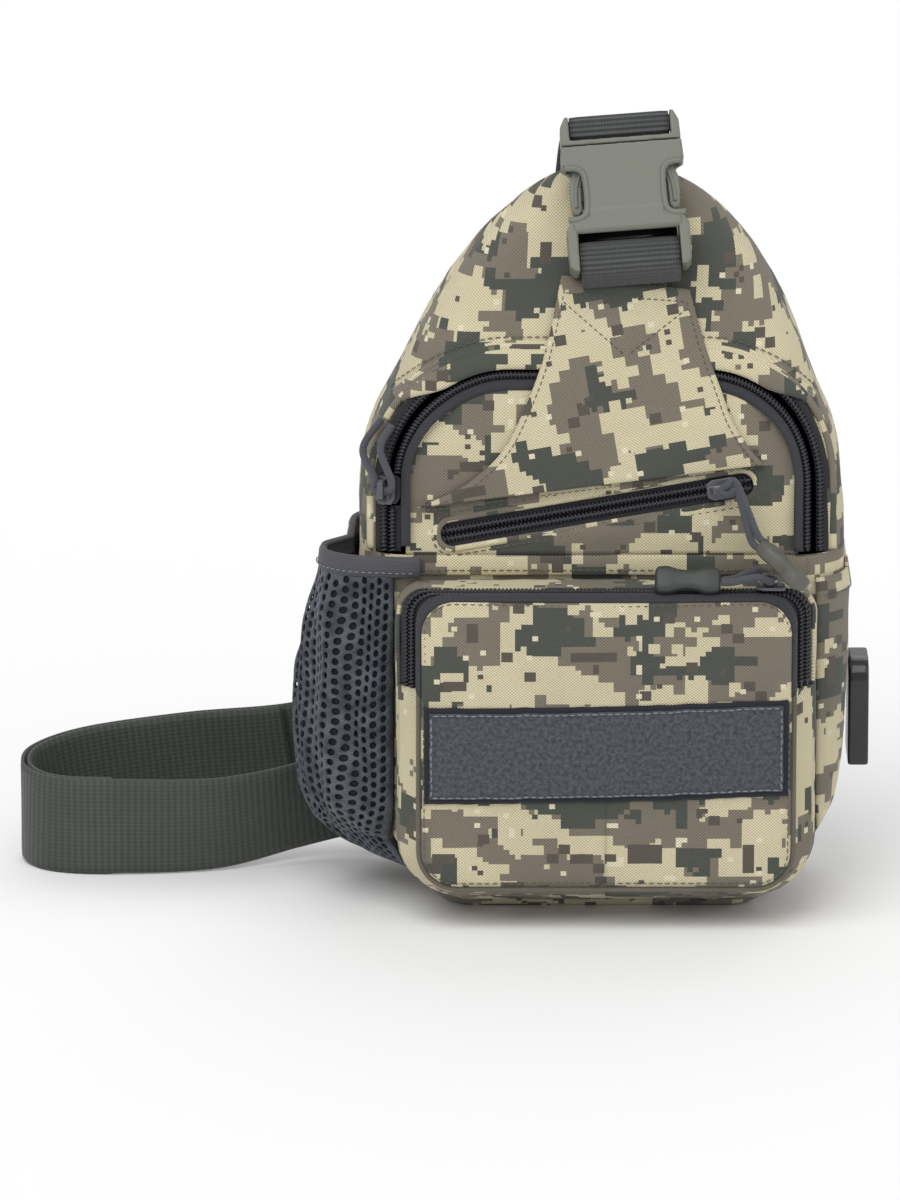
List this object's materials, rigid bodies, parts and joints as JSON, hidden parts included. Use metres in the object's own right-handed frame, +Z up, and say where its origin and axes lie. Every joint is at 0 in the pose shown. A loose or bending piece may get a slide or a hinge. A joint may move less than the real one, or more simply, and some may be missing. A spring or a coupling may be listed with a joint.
{
  "type": "sling bag",
  "caption": "One-shoulder sling bag with a zipped front flap, zipped front pocket, mesh bottle pocket, side-release buckle, webbing strap and external charging socket.",
  "frame": {"origin": "centre of the flat underside that the bag stands on", "axes": "+Z up, -Y out of the bag's front, +X to the right of someone looking at the front"},
  "size_m": [0.3303, 0.1409, 0.3074],
  "materials": {
    "camo_fabric": "woven digital camouflage polyester",
    "lining": "dark woven lining",
    "grey_binding": "dark grey tape and air mesh",
    "mesh": "dark blue-grey open mesh",
    "zip": "black zip tape and nylon coil",
    "slider_metal": "grey painted cast metal",
    "cord": "grey braided cord",
    "grip": "dark olive moulded plastic",
    "buckle": "olive grey moulded acetal",
    "webbing": "dark green-grey webbing",
    "loop_tape": "grey hook-and-loop pile",
    "black_plastic": "black moulded plastic",
    "socket_metal": "plated steel"
  },
  "bodies": {
    "bag_body": {"body_shell": "camo_fabric", "back_pad_lower": "grey_binding", "back_pad_upper": "grey_binding", "inner_sleeve": "lining", "front_pocket": "camo_fabric", "loop_patch": "loop_tape", "front_zip_gusset_half": "zip", "main_zip_body_half": "zip", "main_zip_closed_half": "zip", "mesh_pocket": "mesh", "mesh_pocket_binding": "grey_binding", "right_side_pocket": "camo_fabric", "usb_housing": "black_plastic", "usb_socket": "socket_metal", "usb_tongue": "black_plastic", "shoulder_strap": "webbing", "strap_second_layer": "webbing", "strap_anchor_tab": "camo_fabric"},
    "flap": {"main_flap": "camo_fabric", "main_zip_flap_half": "zip", "diag_zip_upper_half": "zip", "diag_zip_lower_half": "zip", "diag_pocket_lining": "lining", "triangle_panel": "camo_fabric", "lower_webbing": "webbing"},
    "pocket_flap": {"front_flap": "camo_fabric", "front_zip_flap_half": "zip"},
    "main_slider": {"main_slider": "slider_metal"},
    "main_pull": {"main_pull_cord": "cord"},
    "diagonal_slider": {"diag_slider": "slider_metal"},
    "diagonal_pull_loop": {"diag_cord_loop": "cord"},
    "diagonal_pull": {"diag_pull_cord": "cord", "diag_pull_grip": "grip"},
    "front_slider": {"front_slider": "slider_metal"},
    "front_pull": {"front_pull_cord": "cord", "front_pull_grip": "grip"},
    "buckle_shell": {"buckle_shell": "buckle"},
    "buckle_insert": {"buckle_insert": "buckle", "upper_webbing": "webbing"},
    "prong_left": {"prong_left": "buckle"},
    "prong_right": {"prong_right": "buckle"},
    "strap_adjuster": {"strap_adjuster": "buckle"}
  },
  "joints": [
    {"name": "main_flap_hinge", "type": "hinge", "parent": "bag_body", "child": "flap", "pos_m": [0, -0.0384, 0.142], "axis": [1, 0, 0], "range_deg": [0, 55]},
    {"name": "pocket_flap_hinge", "type": "hinge", "parent": "bag_body", "child": "pocket_flap", "pos_m": [0.0015, -0.0669, 0.095], "axis": [1, 0, 0], "range_deg": [0, 80]},
    {"name": "main_zip_slide", "type": "slide", "parent": "bag_body", "child": "main_slider", "axis": [-0.0037, -0.1903, -0.9817], "range_m": [0, 0.016]},
    {"name": "main_pull_swing", "type": "hinge", "parent": "main_slider", "child": "main_pull", "pos_m": [-0.0839, -0.03535, 0.16678], "axis": [0.9084, -0.4111, 0.0762], "range_deg": [0, 60]},
    {"name": "diagonal_zip_slide", "type": "slide", "parent": "flap", "child": "diagonal_slider", "axis": [-0.9859, -0.0276, -0.1652], "range_m": [0, 0.098]},
    {"name": "diagonal_pull_hang", "type": "hinge", "parent": "diagonal_slider", "child": "diagonal_pull_loop", "pos_m": [0.04551, -0.03734, 0.16761], "axis": [1, 0, 0], "range_deg": [-50, 0]},
    {"name": "diagonal_pull_lift", "type": "hinge", "parent": "diagonal_pull_loop", "child": "diagonal_pull", "pos_m": [0.04551, -0.03734, 0.16761], "axis": [1, 0, 0], "range_deg": [-36, 0]},
    {"name": "front_zip_slide", "type": "slide", "parent": "bag_body", "child": "front_slider", "axis": [-1, 0, 0], "range_m": [0, 0.114]},
    {"name": "front_pull_swing", "type": "hinge", "parent": "front_slider", "child": "front_pull", "pos_m": [0.064, -0.0575, 0.13715], "axis": [0, 1, 0], "range_deg": [0, 18]},
    {"name": "buckle_swing", "type": "hinge", "parent": "flap", "child": "buckle_shell", "pos_m": [0.01049, -0.01756, 0.25527], "axis": [0.9969, 0.0356, 0.0699], "range_deg": [0, 70]},
    {"name": "buckle_release", "type": "slide", "parent": "buckle_shell", "child": "buckle_insert", "axis": [-0.0785, 0.4526, 0.8883], "range_m": [0, 0.034]},
    {"name": "prong_right_flex", "type": "hinge", "parent": "buckle_insert", "child": "prong_right", "pos_m": [0.02311, 0.00225, 0.29414], "axis": [0, 0.891, -0.454], "range_deg": [0, 4], "stiffness_Nm_per_rad": 0.2},
    {"name": "prong_left_flex", "type": "hinge", "parent": "buckle_insert", "child": "prong_left", "pos_m": [-0.0088, 0.00111, 0.29191], "axis": [0, 0.891, -0.454], "range_deg": [-4.02, 0], "stiffness_Nm_per_rad": 0.2},
    {"name": "strap_adjuster_slide", "type": "slide", "parent": "bag_body", "child": "strap_adjuster", "axis": [0, 0, 1], "range_m": [-0.034, 0.036]}
  ],
  "couplings": [
    {"joint": "prong_left_flex", "follows": "prong_right_flex", "ratio": -1},
    {"joint": "diagonal_pull_hang", "follows": "main_flap_hinge", "ratio": -0.9},
    {"joint": "diagonal_pull_lift", "follows": "diagonal_zip_slide", "rad_per_m": -6.2245}
  ]
}
